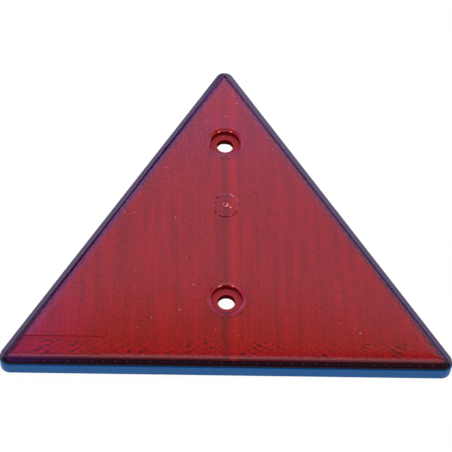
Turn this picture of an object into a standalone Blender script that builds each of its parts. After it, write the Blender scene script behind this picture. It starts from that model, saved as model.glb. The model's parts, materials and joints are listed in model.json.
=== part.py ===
"""Triangular rear reflector for a trailer or a caravan, made of two mouldings.

The lens is clear red acrylic. Its back carries a field of corner-cube prisms and two screw
bosses, each with a counterbore for the screw's head. It is welded to the lip of a shallow
blue tray, whose collars stand under the bosses. The part lies on its back: +Z is the way
the lens faces, +Y runs to the apex, and the origin is the middle of the underside.
Lengths are in metres.
"""
from math import atan2, cos, pi, radians, sin, sqrt

import bmesh
import bpy
from mathutils import Vector

# Outline of the tray, seen from the front
SIDE = 0.1636                   # from one sharp corner to the next, before rounding
CORNER_RADIUS = 0.0037
INNER_CORNER_RADIUS = 0.0012    # least radius of any corner inside the outline

# Tray
FLOOR = 0.0016
TRAY_WALL = 0.0018
FOOT_ROUND = 0.0006             # rounded edge round the underside
FLOOR_FILLET = 0.0008           # inside, where the wall meets the floor
COLLAR_HEIGHT = 0.0005          # above the floor
COLLAR_BORE = 0.0100

# Lens
LENS_EDGE = 0.0017              # front face to the underside of the rim
LENS_PLATE = 0.0019             # thickness behind the face, where there are no prisms
LENS_STEP = 0.0003              # how far the lens stands in from the tray's outline
LENS_CORNER_RADIUS = 0.0040     # a little rounder than the tray, whose lip shows there
BEVEL_WIDTH = 0.0025
BEVEL_DROP = 0.0005
EDGE_ROUND = 0.0004             # between the bevel and the upright edge
RIB_WIDTH = 0.0010              # locating rib that stands inside the tray's wall
RIB_DEPTH = 0.0012

# Screw holes, both on the middle line, measured from the middle of the triangle
UPPER_HOLE_RISE = 0.0537
LOWER_HOLE_DROP = 0.0191
SCREW_HOLE = 0.0063
COUNTERBORE = 0.0113
COUNTERBORE_DEPTH = 0.0024
SEAT_THICKNESS = 0.0024
BOSS_WALL = 0.0014              # round the counterbore
RIM_CHAMFER = 0.0003            # round the mouth of the counterbore

# Mark of the moulding gate, in the front of the lens
GATE_RISE = 0.0231
GATE_DIAMETER = 0.0104
GATE_DEPTH = 0.0004
GATE_NUB = 0.0018
GATE_NUB_HEIGHT = 0.0003

# Corner-cube prisms
PRISM_PITCH = 0.0029            # across the flats of one hexagonal cell
FIELD_MARGIN = 0.0008           # between the locating rib and the field
BOSS_MARGIN = 0.0005            # between a boss and the field
VALLEY_DROP = 0.0001            # valleys of the prisms below the back of the plate
SEAM_WIDTH = 0.0012             # plain strip down the middle, between the two halves

# Bare label recess, in the front of the lens in the corner at -X
LABEL_MARGIN = 0.0008           # from the crease of the bevel
LABEL_LENGTH = 0.0324           # along the bottom, from the sharp corner
LABEL_HEIGHT = 0.0077
LABEL_DEPTH = 0.00015
LABEL_ROUND = 0.0015            # its two corners away from the bevel

JOINT_GAP = 0.0003              # between the lens and the tray, all round
OVERRUN = 0.001                 # how far a cutter passes the face that it opens
CORNER_STEPS = 8                # straight facets in one rounded corner
ROUND_STEPS = 48                # straight facets in one turned piece
EDGE_STEPS = 3                  # straight facets in one rounded edge

# Colours, as linear red, green and blue
RED_ACRYLIC = (0.330, 0.010, 0.014)
BLUE_PLASTIC = (0.023, 0.095, 0.270)

# Levels and places that follow from the sizes above
INRADIUS = SIDE / (2 * sqrt(3))
APEX = 2 * INRADIUS - CORNER_RADIUS              # top of the rounded apex, from the middle
MIDDLE_Y = (INRADIUS - APEX) / 2                 # the middle of the triangle in the frame
BOSS_DIAMETER = COUNTERBORE + 2 * BOSS_WALL
TOTAL = FLOOR + COLLAR_HEIGHT + JOINT_GAP + SEAT_THICKNESS + COUNTERBORE_DEPTH
BOSS_FOOT = TOTAL - COUNTERBORE_DEPTH - SEAT_THICKNESS
RIM_UNDERSIDE = TOTAL - LENS_EDGE
PLATE_BACK = TOTAL - LENS_PLATE
LIP = RIM_UNDERSIDE - JOINT_GAP                  # top of the tray's wall
RIB_INSET = TRAY_WALL + JOINT_GAP
FIELD_INSET = RIB_INSET + RIB_WIDTH + FIELD_MARGIN
HOLES = (MIDDLE_Y + UPPER_HOLE_RISE, MIDDLE_Y - LOWER_HOLE_DROP)
GATE_Y = MIDDLE_Y + GATE_RISE


def clear_scene():
    """Empties the file of the objects that it opened with."""
    for item in list(bpy.data.objects):
        bpy.data.objects.remove(item, do_unlink=True)


def outline(inset, z, corner):
    """The rounded triangle, set in from the tray's outline, as points at height z.

    The corner is the radius that it would have at no inset."""
    inradius = INRADIUS - inset
    radius = max(corner - inset, INNER_CORNER_RADIUS)
    reach = 2 * (inradius - radius)              # from the middle to a corner's centre
    points = []
    for bearing in (90, 210, 330):
        way = radians(bearing)
        centre_x = reach * cos(way)
        centre_y = MIDDLE_Y + reach * sin(way)
        for step in range(CORNER_STEPS + 1):
            turn = radians(bearing - 60 + 120 * step / CORNER_STEPS)
            points.append(Vector((centre_x + radius * cos(turn), centre_y + radius * sin(turn), z)))
    return points


def rounded_edge(inset, z, radius, start, end):
    """(inset, z) places along a quarter round; 0 degrees is outwards and 90 is up."""
    places = []
    for step in range(EDGE_STEPS + 1):
        turn = radians(start + (end - start) * step / EDGE_STEPS)
        places.append((inset - radius * cos(turn), z + radius * sin(turn)))
    return places


def body(name, mesh, material=None):
    """Puts a mesh into the scene as one object with its faces pointing out."""
    bmesh.ops.recalc_face_normals(mesh, faces=mesh.faces[:])
    data = bpy.data.meshes.new(name)
    mesh.to_mesh(data)
    mesh.free()
    item = bpy.data.objects.new(name, data)
    bpy.context.scene.collection.objects.link(item)
    if material:
        data.materials.append(material)
    return item


def lofted(places, corner):
    """A closed mesh through rounded triangles at (inset, z) places, capped at both ends."""
    mesh = bmesh.new()
    rings = []
    for inset, z in places:
        rings.append([mesh.verts.new(point) for point in outline(inset, z, corner)])
    for near, far in zip(rings, rings[1:]):
        for step in range(len(near)):
            after = (step + 1) % len(near)
            mesh.faces.new((near[step], near[after], far[after], far[step]))
    mesh.faces.new(rings[0])
    mesh.faces.new(rings[-1])
    return mesh


def turned(mesh, y, places):
    """Adds a solid of revolution to the mesh, from (radius, z) places, upright at (0, y)."""
    rings = []
    for radius, z in places:
        ring = []
        for step in range(ROUND_STEPS):
            turn = 2 * pi * step / ROUND_STEPS
            ring.append(mesh.verts.new((radius * cos(turn), y + radius * sin(turn), z)))
        rings.append(ring)
    for near, far in zip(rings, rings[1:]):
        for step in range(ROUND_STEPS):
            after = (step + 1) % ROUND_STEPS
            mesh.faces.new((near[step], near[after], far[after], far[step]))
    mesh.faces.new(rings[0])
    mesh.faces.new(rings[-1])


def depth_inside(x, y):
    """How far a place lies inside the sharp outline of the tray, from its nearest side."""
    depths = []
    for side in (30, 150, 270):
        way = radians(side)
        depths.append(INRADIUS - (x * cos(way) + (y - MIDDLE_Y) * sin(way)))
    return min(depths)


def cell_corners(centre_x, centre_y, side):
    """The six corners of one hexagonal cell; the first points away from the middle line."""
    reach = PRISM_PITCH / sqrt(3)
    corners = []
    for step in range(6):
        turn = radians(60 * step)
        corners.append((centre_x + side * reach * cos(turn), centre_y + reach * sin(turn)))
    return corners


def in_field(corners):
    """Whether a whole cell fits into the field, clear of the bosses."""
    for x, y in corners:
        if depth_inside(x, y) < FIELD_INSET:
            return False
        for hole_y in HOLES:
            if (Vector((x, y)) - Vector((0, hole_y))).length < BOSS_DIAMETER / 2 + BOSS_MARGIN:
                return False
    return True


def field_cells():
    """Every whole cell as its centre and corners, in mirrored halves beside the seam.

    Odd columns stand half a cell higher."""
    columns = int(SIDE / PRISM_PITCH) + 1
    first = SEAM_WIDTH / 2 + PRISM_PITCH / sqrt(3)
    cells = []
    for side in (-1, 1):
        for column in range(columns):
            x = side * (first + column * PRISM_PITCH * sqrt(3) / 2)
            for row in range(-columns, columns + 1):
                y = MIDDLE_Y + (row + (column % 2) / 2) * PRISM_PITCH
                corners = cell_corners(x, y, side)
                if in_field(corners):
                    cells.append((x, y, corners))
    return cells


def prism_field():
    """A closed block of corner cubes, point down, whose flat top lies inside the plate.

    Each cell is one corner of a cube seen along its long diagonal: three square faces meet
    at the point, three corners of the hexagon are one step above it and three are two."""
    step_height = PRISM_PITCH / sqrt(6)
    valley = PLATE_BACK - VALLEY_DROP
    top = TOTAL - LENS_PLATE / 2
    mesh = bmesh.new()
    known = {}

    def vertex(x, y, z):
        key = (round(x / 1e-6), round(y / 1e-6), round(z / 1e-6))
        if key not in known:
            known[key] = mesh.verts.new((x, y, z))
        return known[key]

    edge_uses = {}
    for x, y, corners in field_cells():
        point = vertex(x, y, valley - 2 * step_height)
        lower = []
        upper = []
        for index, (corner_x, corner_y) in enumerate(corners):
            rise = valley if index % 2 else valley - step_height
            lower.append(vertex(corner_x, corner_y, rise))
            upper.append(vertex(corner_x, corner_y, top))
        for index in (0, 2, 4):
            mesh.faces.new((point, lower[index], lower[index + 1], lower[(index + 2) % 6]))
        mesh.faces.new(upper)
        for index in range(6):
            after = (index + 1) % 6
            edge = frozenset((lower[index], lower[after]))
            edge_uses.setdefault(edge, []).append((lower[index], lower[after], upper[after], upper[index]))
    for uses in edge_uses.values():
        if len(uses) == 1:
            mesh.faces.new(uses[0])
    return mesh


def label_recess():
    """A thin block that follows the bevel on its slanting side and is rounded on the other."""
    inset = LENS_STEP + BEVEL_WIDTH + LABEL_MARGIN
    foot = MIDDLE_Y - INRADIUS + inset
    start = -SIDE / 2 + sqrt(3) * inset
    end = start + LABEL_LENGTH
    places = [(start + LABEL_HEIGHT / sqrt(3), foot + LABEL_HEIGHT), (start, foot)]
    for centre_y, first_turn in ((foot + LABEL_ROUND, -90), (foot + LABEL_HEIGHT - LABEL_ROUND, 0)):
        for step in range(EDGE_STEPS + 1):
            turn = radians(first_turn + 90 * step / EDGE_STEPS)
            places.append((end - LABEL_ROUND * (1 - cos(turn)), centre_y + LABEL_ROUND * sin(turn)))
    mesh = bmesh.new()
    face = mesh.faces.new([mesh.verts.new((x, y, TOTAL - LABEL_DEPTH)) for x, y in places])
    grown = bmesh.ops.extrude_face_region(mesh, geom=[face])["geom"]
    raised = [item for item in grown if isinstance(item, bmesh.types.BMVert)]
    bmesh.ops.translate(mesh, verts=raised, vec=(0, 0, LABEL_DEPTH + OVERRUN))
    return mesh


def combine(item, tool, operation):
    """Joins a tool to an item, or cuts it away, with a Boolean that stays on the item."""
    tool.hide_render = True
    tool.display_type = "WIRE"
    tool.hide_set(True)
    modifier = item.modifiers.new(tool.name, "BOOLEAN")
    modifier.operation = operation
    modifier.solver = "EXACT"
    modifier.object = tool


def plastic(name, colour, roughness, transmission=0.0):
    """A moulded plastic."""
    material = bpy.data.materials.new(name)
    material.use_nodes = True
    shader = material.node_tree.nodes["Principled BSDF"]
    shader.inputs["Base Color"].default_value = (*colour, 1.0)
    shader.inputs["Roughness"].default_value = roughness
    shader.inputs["Metallic"].default_value = 0.0
    shader.inputs["Transmission Weight"].default_value = transmission
    return material


def shade(item):
    """Smooths the round walls and keeps every edge of more than 35 degrees sharp."""
    item.data.shade_smooth()
    item.data.set_sharp_from_angle(angle=radians(35))


def make_tray():
    """The shallow back tray, with a collar under each boss of the lens."""
    places = rounded_edge(FOOT_ROUND, FOOT_ROUND, FOOT_ROUND, -90, 0)
    places += [(0, LIP), (TRAY_WALL, LIP)]
    fillet = FLOOR_FILLET
    for step in range(EDGE_STEPS + 1):
        turn = radians(90 * step / EDGE_STEPS)
        places.append((TRAY_WALL + fillet * (1 - cos(turn)), FLOOR + fillet * (1 - sin(turn))))
    shell = lofted(places, CORNER_RADIUS)
    tray = body("back_tray", shell, plastic("blue_plastic", BLUE_PLASTIC, 0.35))

    collars = bmesh.new()
    bores = bmesh.new()
    for y in HOLES:
        turned(collars, y, [(BOSS_DIAMETER / 2, FLOOR / 2), (BOSS_DIAMETER / 2, BOSS_FOOT - JOINT_GAP)])
        turned(bores, y, [(COLLAR_BORE / 2, -OVERRUN), (COLLAR_BORE / 2, TOTAL)])
    combine(tray, body("tray_collars", collars), "UNION")
    combine(tray, body("tray_bores", bores), "DIFFERENCE")
    shade(tray)
    return tray


def lens_profile():
    """(inset, z) places from the front face, round the rim and the rib, to the back."""
    bevel_edge = TOTAL - BEVEL_DROP
    slope = atan2(BEVEL_DROP, BEVEL_WIDTH)
    places = [(LENS_STEP + BEVEL_WIDTH, TOTAL)]
    for step in range(EDGE_STEPS + 1):
        turn = pi / 2 - slope - (pi / 2 - slope) * step / EDGE_STEPS
        places.append((LENS_STEP + EDGE_ROUND * (1 - cos(turn)), bevel_edge - EDGE_ROUND * (1 - sin(turn))))
    rib_foot = RIM_UNDERSIDE - RIB_DEPTH
    places += [(LENS_STEP, RIM_UNDERSIDE), (RIB_INSET, RIM_UNDERSIDE), (RIB_INSET, rib_foot)]
    places += [(RIB_INSET + RIB_WIDTH, rib_foot), (RIB_INSET + RIB_WIDTH, PLATE_BACK)]
    return places


def make_lens():
    """The red lens: plate, rim, locating rib, screw bosses, prisms, gate mark and label recess."""
    acrylic = plastic("red_acrylic", RED_ACRYLIC, 0.08, 0.6)
    lens = body("lens", lofted(lens_profile(), LENS_CORNER_RADIUS + LENS_STEP), acrylic)

    bosses = bmesh.new()
    bores = bmesh.new()
    inside = TOTAL - LENS_PLATE / 2
    seat = TOTAL - COUNTERBORE_DEPTH
    wide = COUNTERBORE / 2
    for y in HOLES:
        turned(bosses, y, [(BOSS_DIAMETER / 2, BOSS_FOOT), (BOSS_DIAMETER / 2, inside)])
        turned(bores, y, [
            (SCREW_HOLE / 2, BOSS_FOOT - OVERRUN),
            (SCREW_HOLE / 2, seat),
            (wide, seat),
            (wide, TOTAL - RIM_CHAMFER),
            (wide + RIM_CHAMFER, TOTAL),
            (wide + RIM_CHAMFER, TOTAL + OVERRUN),
        ])
    recess = bmesh.new()
    recess_floor = TOTAL - GATE_DEPTH
    turned(recess, GATE_Y, [(GATE_DIAMETER / 2, recess_floor), (GATE_DIAMETER / 2, TOTAL + OVERRUN)])
    nub = bmesh.new()
    turned(nub, GATE_Y, [(GATE_NUB / 2, inside), (GATE_NUB / 2, recess_floor + GATE_NUB_HEIGHT)])

    combine(lens, body("lens_prisms", prism_field()), "UNION")
    combine(lens, body("lens_bosses", bosses), "UNION")
    combine(lens, body("lens_bores", bores), "DIFFERENCE")
    combine(lens, body("gate_recess", recess), "DIFFERENCE")
    combine(lens, body("gate_nub", nub), "UNION")
    combine(lens, body("label_recess", label_recess()), "DIFFERENCE")
    shade(lens)
    return lens


def main():
    """Builds the reflector."""
    clear_scene()
    make_tray()
    make_lens()


if __name__ == "__main__":
    main()
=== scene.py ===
"""Triangular rear reflector for a trailer or a caravan: its finished surfaces, on a white sweep.

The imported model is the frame. Around it come a clear red lens with its real prisms, a smooth
blue tray, the dust on the lens, and the stage with its light and camera. Lengths are in metres.
"""
import json
from math import atan2, ceil, cos, degrees, pi, radians, sin, sqrt, tan

import bmesh
import bpy
from bpy.props import (
    FloatProperty, FloatVectorProperty, IntProperty, PointerProperty, StringProperty)
from mathutils import Matrix, Vector


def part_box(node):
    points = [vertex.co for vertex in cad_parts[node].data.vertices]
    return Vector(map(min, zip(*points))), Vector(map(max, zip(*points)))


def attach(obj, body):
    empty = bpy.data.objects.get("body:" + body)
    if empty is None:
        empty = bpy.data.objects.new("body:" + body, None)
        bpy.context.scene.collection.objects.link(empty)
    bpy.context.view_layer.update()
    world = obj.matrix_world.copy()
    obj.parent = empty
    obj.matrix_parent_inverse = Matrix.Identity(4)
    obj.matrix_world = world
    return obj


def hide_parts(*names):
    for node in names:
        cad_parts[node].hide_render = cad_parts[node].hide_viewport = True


bl_info = {
    "name": "Triangular reflector",
    "version": (1, 0, 0),
    "blender": (4, 5, 0),
    "location": "3D View > Sidebar > Reflector",
    "description": "Builds the lens, the tray, the dust and the stage of a triangular reflector",
    "category": "Object",
}

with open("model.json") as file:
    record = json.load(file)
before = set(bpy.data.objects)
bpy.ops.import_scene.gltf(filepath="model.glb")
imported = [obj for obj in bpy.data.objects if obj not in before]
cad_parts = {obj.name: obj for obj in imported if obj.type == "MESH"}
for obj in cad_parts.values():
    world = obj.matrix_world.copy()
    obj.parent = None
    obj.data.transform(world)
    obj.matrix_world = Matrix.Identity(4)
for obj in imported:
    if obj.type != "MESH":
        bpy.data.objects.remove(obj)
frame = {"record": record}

# Places that come from the frame
LENS_LOW, LENS_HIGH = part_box("lens")
TRAY_LOW, TRAY_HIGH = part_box("back_tray")
FRONT = LENS_HIGH.z
LIP = TRAY_HIGH.z
BOSS_FOOT = LENS_LOW.z
LENS_STEP = LENS_LOW.y - TRAY_LOW.y
HOLES = [sum(corner[1] for corner in opening["box_m"]) / 2
         for opening in frame["record"]["physics"]["openings"]]

MM = 0.001
ARC_STEPS = 20                  # straight facets in one rounded corner
ROUND_STEPS = 96                # straight facets in one turned piece
EDGE_STEPS = 5                  # straight facets in one rounded edge
SHARPEST = 0.5 * MM             # smallest radius of a corner
RING_REACH = (1 * MM, 8 * MM)   # how far from its middle a ring's marked faces lie
SIDE_WAY = radians(30)          # the way that the slanting side at +X faces
CORNER_WAYS = (90, 210, 330)    # the ways that the corners point, in degrees
SKIN = 0.02 * MM                # space between surfaces that would otherwise coincide
RIM_FOOT = LIP + 0.3 * MM       # underside of the lens's rim, above the weld
CLEAR, FACETS_PAINTED_LIGHT, DEEP_PAINTED_LIGHT, RIM, WELD_SHADE, BORE_SHADE, SEAT, FROST_AND_GLINT = range(8)     # material slots of the lens

# Kinds of node and settings that come often
MATH, RANGE, MIX = "ShaderNodeMath", "ShaderNodeMapRange", "ShaderNodeMix"
NOISE, SEPARATE, COMBINE = "ShaderNodeTexNoise", "ShaderNodeSeparateXYZ", "ShaderNodeCombineXYZ"
SOFT = {"interpolation_type": "SMOOTHSTEP"}
COLOUR = {"data_type": "RGBA", "clamp_factor": True}
EQUAL_COUNT = {"data_type": "INT", "operation": "EQUAL"}


def millimetres(name, value, description):
    """A property that holds a length."""
    return FloatProperty(
        name=name, description=description, default=value * MM, unit="LENGTH", precision=5)


def hex_colour(name, value, description):
    """A property that holds an sRGB colour as a hex value."""
    return StringProperty(name=name, description=description, default=value)


class LensSizes(bpy.types.PropertyGroup):
    """Sizes of the red lens that the frame doesn't give."""
    corner_radius: millimetres("Corner radius", 3.5, "Outer radius of the lens's corners")
    corner_taper: FloatProperty(
        name="Corner taper", description="How fast the corners sharpen across the bevel",
        default=1.75)
    bevel_width: millimetres("Bevel width", 2.5, "Width of the sloping rim, seen from the front")
    bevel_drop: millimetres("Bevel drop", 0.5, "How far the rim falls away below the front face")
    edge_round: millimetres("Edge round", 0.4, "Radius between the bevel and the upright edge")
    crease_reach: millimetres(
        "Crease reach", 0.7, "How far the rounded crease reaches to each side")
    crown_width: millimetres(
        "Crown width", 3.0, "Width of the border where the face starts to fall")
    crown_slope: FloatProperty(
        name="Crown slope", description="Slope that the face has where the crease begins",
        default=radians(2.9), subtype="ANGLE")
    plate: millimetres("Plate", 1.9, "Thickness behind the face, where there are no prisms")
    rib_inset: millimetres("Rib inset", 2.1, "From the tray's outline to the outside of the rib")
    rib_width: millimetres("Rib width", 0.7, "Thickness of the locating rib")
    rib_depth: millimetres("Rib depth", 1.2, "How far the rib reaches down into the tray")
    screw_hole: millimetres("Screw hole", 6.3, "Diameter of the hole through each boss")
    counterbore: millimetres("Counterbore", 11.3, "Diameter of the recess for the screw's head")
    counterbore_depth: millimetres("Counterbore depth", 2.4, "From the front face to the seat")
    boss_wall: millimetres("Boss wall", 1.4, "Thickness of the boss round the counterbore")
    mouth_round: millimetres("Mouth round", 0.3, "Radius at the mouth of the counterbore")
    dish_width: millimetres("Dish width", 0.95, "Width of the shallow dish round each mouth")
    dish_slope: FloatProperty(
        name="Dish slope", description="Slope of the shallow dish",
        default=radians(5), subtype="ANGLE")


class PrismSizes(bpy.types.PropertyGroup):
    """Sizes of the corner-cube prisms."""
    pitch: millimetres("Pitch", 2.355, "Across the flats of one hexagonal cell")
    margin: millimetres("Margin", 0.1, "Between the locating rib and the field")
    boss_margin: millimetres("Boss margin", 0.05, "Between a boss and the field")
    lower_margin: millimetres("Lower margin", 4.2, "Between the tray's lower side and the field")
    deep_band: millimetres("Deep band", 10.4, "Height of the clearer prisms above the lower side")
    seam: millimetres("Seam", 1.2, "Width of the plain strip down the middle line")
    valley_drop: millimetres(
        "Valley drop", 0.05, "Valleys of the prisms below the back of the plate")


class GateSizes(bpy.types.PropertyGroup):
    """Sizes of the mark that the moulding gate left in the front of the lens."""
    rise: millimetres("Rise", 22.9, "From the middle of the triangle towards the apex")
    diameter: millimetres("Diameter", 10.0, "Diameter of the disc that the gate left")
    height: millimetres("Height", 0.16, "How far the disc stands proud")
    border: millimetres("Border", 0.35, "Width of the disc's sloping border")
    stretch: FloatProperty(
        name="Stretch", description="Length of the disc along Y over its width",
        default=1.12)
    stub: millimetres("Stub", 2.4, "Diameter of the broken stub in the middle")


class LabelSizes(bpy.types.PropertyGroup):
    """Sizes of the shallow, bare recess in the corner at -X."""
    margin: millimetres("Margin", 0.8, "From the crease of the bevel")
    length: millimetres("Length", 32.4, "Along the bottom, from the sharp corner")
    height: millimetres("Height", 7.7, "Away from the bottom edge")
    depth: millimetres("Depth", 0.25, "Below the front face")
    rounding: millimetres("Rounding", 1.5, "Radius of the two corners away from the bevel")


class GlintPipSizes(bpy.types.PropertyGroup):
    """Sizes of the small pale pips along the welded joint: painted highlights that stand for the
    prisms glinting through the rim.
    """
    inset: millimetres("Inset", 1.75, "From the tray's outline to the line of pips")
    spacing: millimetres("Spacing", 4.06, "From one pip to the next")
    radius: millimetres("Radius", 0.22, "Radius of one pip")


class DustSizes(bpy.types.PropertyGroup):
    """Sizes of the dust on the lens. Real dust is under 0.03 mm, too fine to show, so its flecks
    are drawn several times as coarse."""
    seed: IntProperty(name="Seed", description="Seed of the fine dust", default=7)
    density: FloatProperty(
        name="Density", description="Flecks on each square metre of the face", default=6000.0)
    smallest: millimetres("Smallest", 0.05, "Radius of the smallest fleck")
    largest: millimetres("Largest", 0.14, "Radius of the largest fleck")


class TraySizes(bpy.types.PropertyGroup):
    """Sizes of the blue tray that the frame doesn't give."""
    corner_radius: millimetres("Corner radius", 3.7, "Outer radius of the tray's corners")
    wall: millimetres("Wall", 1.8, "Thickness of the upright wall")
    floor: millimetres("Floor", 1.6, "Thickness of the floor")
    foot_round: millimetres("Foot round", 0.6, "Radius round the underside")
    lip_round: millimetres("Lip round", 0.25, "Radius of the outer edge of the lip")
    collar_bore: millimetres("Collar bore", 10.0, "Diameter of the hole inside each collar")


class Finishes(bpy.types.PropertyGroup):
    """Colours, as sRGB hex values."""
    acrylic: hex_colour("Red acrylic", "FF1818", "Colour of light that has passed through the lens")
    # Painted light: the prisms' red stands for the light that they throw back
    facets_painted_light: hex_colour("Prism facets", "FF2222", "Colour that the prisms throw back")
    # Painted light and shade: the low prisms' red, with painted dark spots where the tray shows
    deep_painted_light: hex_colour("Low prism facets", "FF3A3A", "Colour of the prisms along the lower side")
    rim: hex_colour("Rim", "E81420", "Colour of light that has passed through the sloping rim")
    # Painted shade: this dark colour darkens the upright edge and the rib
    weld: hex_colour("Weld", "200C1A", "Upright edge, where the lens is welded to the tray")
    # Painted shade: the bores' dark red stands for the shade in holes and recesses
    bore_shade: hex_colour(
        "Bores", "701418", "Walls of the screw holes, seen against the depth of the lens")
    seat: hex_colour("Seats", "BC3E46", "Floors of the counterbores, matt from the tool")
    tray: hex_colour("Blue plastic", "03599A", "Colour of the tray")
    # Pale crazed acrylic at the stub, and painted highlights on the gate, the mouths and the pips
    frost_and_glint: hex_colour("Frost", "FF9A94", "Colour of the broken stub and of the weld pips")
    # Pale dust, with the red light from the lens below painted into its colour
    dust: hex_colour("Dust", "F48480", "Colour of the dust flecks")


class StageLook(bpy.types.PropertyGroup):
    """Camera and light."""
    azimuth: FloatProperty(
        name="Azimuth", description="Camera's turn round the reflector, in degrees", default=-3.310)
    elevation: FloatProperty(
        name="Elevation", description="Camera's height above the face, in degrees", default=52.816)
    roll: FloatProperty(name="Roll", description="Camera's roll, in degrees", default=3.618)
    distance: FloatProperty(
        name="Distance", description="From the camera to what it aims at",
        default=0.592514, unit="LENGTH", precision=5)
    aim: FloatVectorProperty(
        name="Aim", description="What the camera aims at, from the middle of the front face",
        default=(-0.026 * MM, 13.261 * MM, 0.0), unit="LENGTH", precision=5)
    lamp_elevation: FloatProperty(
        name="Lamp elevation", description="Height of the lamp behind the reflector, in degrees",
        default=69.0)
    lamp_distance: FloatProperty(
        name="Lamp distance", description="From the reflector to the lamp",
        default=1.5, unit="LENGTH")
    lamp_width: FloatProperty(
        name="Lamp width", description="Size of the lamp along X", default=1.2, unit="LENGTH")
    lamp_height: FloatProperty(
        name="Lamp height", description="Size of the lamp the other way",
        default=0.22, unit="LENGTH")
    lamp_power: FloatProperty(
        name="Lamp power", description="Power of the lamp, in watts", default=0.6)
    lens: FloatProperty(
        name="Focal length", description="Focal length on a 36 mm sensor, in millimetres",
        default=127.822)


def inradius():
    """From the middle of the triangle to the middle of a side of the tray's sharp outline."""
    radius = bpy.context.scene.reflector_tray.corner_radius
    return (TRAY_HIGH.x - radius) / (2 * cos(SIDE_WAY)) + radius


def middle_y():
    """Where the middle of the triangle lies along Y."""
    return TRAY_LOW.y + inradius()


def outline(inset, z, corner):
    """The rounded triangle, set in from the tray's outline, as points at height z.

    The corner is the radius that it would have at no inset."""
    inner = inradius() - inset
    radius = max(corner - inset, SHARPEST)
    reach = 2 * (inner - radius)
    points = []
    for bearing in CORNER_WAYS:
        way = radians(bearing)
        centre = Vector((reach * cos(way), middle_y() + reach * sin(way), z))
        for step in range(ARC_STEPS + 1):
            turn = radians(bearing - 60 + 120 * step / ARC_STEPS)
            points.append(centre + Vector((radius * cos(turn), radius * sin(turn), 0)))
    return points


def quarter(centre_inset, centre_z, radius, start, end):
    """(inset, z) places along an arc; 0 degrees is outwards and 90 degrees is up."""
    places = []
    for step in range(EDGE_STEPS + 1):
        turn = radians(start + (end - start) * step / EDGE_STEPS)
        places.append((centre_inset - radius * cos(turn), centre_z + radius * sin(turn)))
    return places


def skinned(mesh, rings, finishes=None):
    """Adds a closed surface through rings of equal count to the mesh, capped at both ends.

    The finishes are the material slots of the bands between the rings and of the last cap."""
    rows = [[mesh.verts.new(point) for point in ring] for ring in rings]
    count = len(rows[0])
    for band, (near, far) in enumerate(zip(rows, rows[1:])):
        for step in range(count):
            after = (step + 1) % count
            face = mesh.faces.new((near[step], near[after], far[after], far[step]))
            face.material_index = finishes[band] if finishes else 0
    mesh.faces.new(rows[0])
    mesh.faces.new(rows[-1]).material_index = finishes[-1] if finishes else 0


def lofted(places, corner, finishes=None):
    """A closed mesh through rounded triangles at (inset, z) places; one may add its own corner."""
    mesh = bmesh.new()
    rings = [outline(inset, z, own[0] if own else corner) for inset, z, *own in places]
    skinned(mesh, rings, finishes)
    return mesh


def turned(mesh, y, places, finishes=None):
    """Adds a solid of revolution, from (radius, z) places, upright at (0, y)."""
    rings = []
    for radius, z in places:
        turns = [2 * pi * step / ROUND_STEPS for step in range(ROUND_STEPS)]
        rings.append([Vector((radius * cos(turn), y + radius * sin(turn), z)) for turn in turns])
    skinned(mesh, rings, finishes)


def mark(mesh, y, low, high, sectors, finish):
    """Gives a finish to the faces between two heights in sectors, in degrees, round (0, y)."""
    for face in mesh.faces:
        middle = face.calc_center_median() - Vector((0, y, 0))
        bearing = degrees(atan2(middle.y, middle.x))
        if low < middle.z < high and RING_REACH[0] < middle.xy.length < RING_REACH[1]:
            if any(start < bearing < end for start, end in sectors):
                face.material_index = finish


def shown(name, mesh):
    """Puts a bmesh into the scene as one object whose faces point out."""
    bmesh.ops.recalc_face_normals(mesh, faces=mesh.faces[:])
    data = bpy.data.meshes.new(name)
    mesh.to_mesh(data)
    mesh.free()
    item = bpy.data.objects.new(name, data)
    bpy.context.scene.collection.objects.link(item)
    return item


def evaluated(item):
    """The mesh that an object has after its modifiers."""
    bpy.context.view_layer.update()
    graph = bpy.context.evaluated_depsgraph_get()
    return bpy.data.meshes.new_from_object(item.evaluated_get(graph))


def combine(item, *steps):
    """Joins tools to an item, cuts them away or keeps the overlap, and deletes the tools."""
    for tool, operation in steps:
        modifier = item.modifiers.new(tool.name, "BOOLEAN")
        modifier.operation = operation
        modifier.solver = "EXACT"
        modifier.object = tool
    mesh = evaluated(item)
    item.modifiers.clear()
    item.data = mesh
    for tool, _ in steps:
        bpy.data.objects.remove(tool, do_unlink=True)
    return item


def smooth(item, angle=12, flat_angle=0.5, flat_area=12 * MM * MM):
    """Shades an item smooth, with sharp edges at real corners and round its large flat faces.

    The angles are the bends, in degrees, from which an edge is sharp."""
    mesh = bmesh.new()
    mesh.from_mesh(item.data)
    bmesh.ops.dissolve_degenerate(mesh, dist=1e-7, edges=mesh.edges[:])
    for face in mesh.faces:
        face.smooth = True
    for edge in mesh.edges:
        if len(edge.link_faces) == 2:
            bend = edge.calc_face_angle(0)
            beside_flat = max(face.calc_area() for face in edge.link_faces) > flat_area
            edge.smooth = bend <= radians(flat_angle if beside_flat else angle)
    mesh.to_mesh(item.data)
    mesh.free()


def linear(colour):
    """A hex sRGB colour as the linear red, green, blue and alpha that shaders take."""
    channels = []
    for start in (0, 2, 4):
        share = int(colour[start:start + 2], 16) / 255
        channels.append(share / 12.92 if share <= 0.04045 else ((share + 0.055) / 1.055) ** 2.4)
    return (*channels, 1.0)


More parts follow.
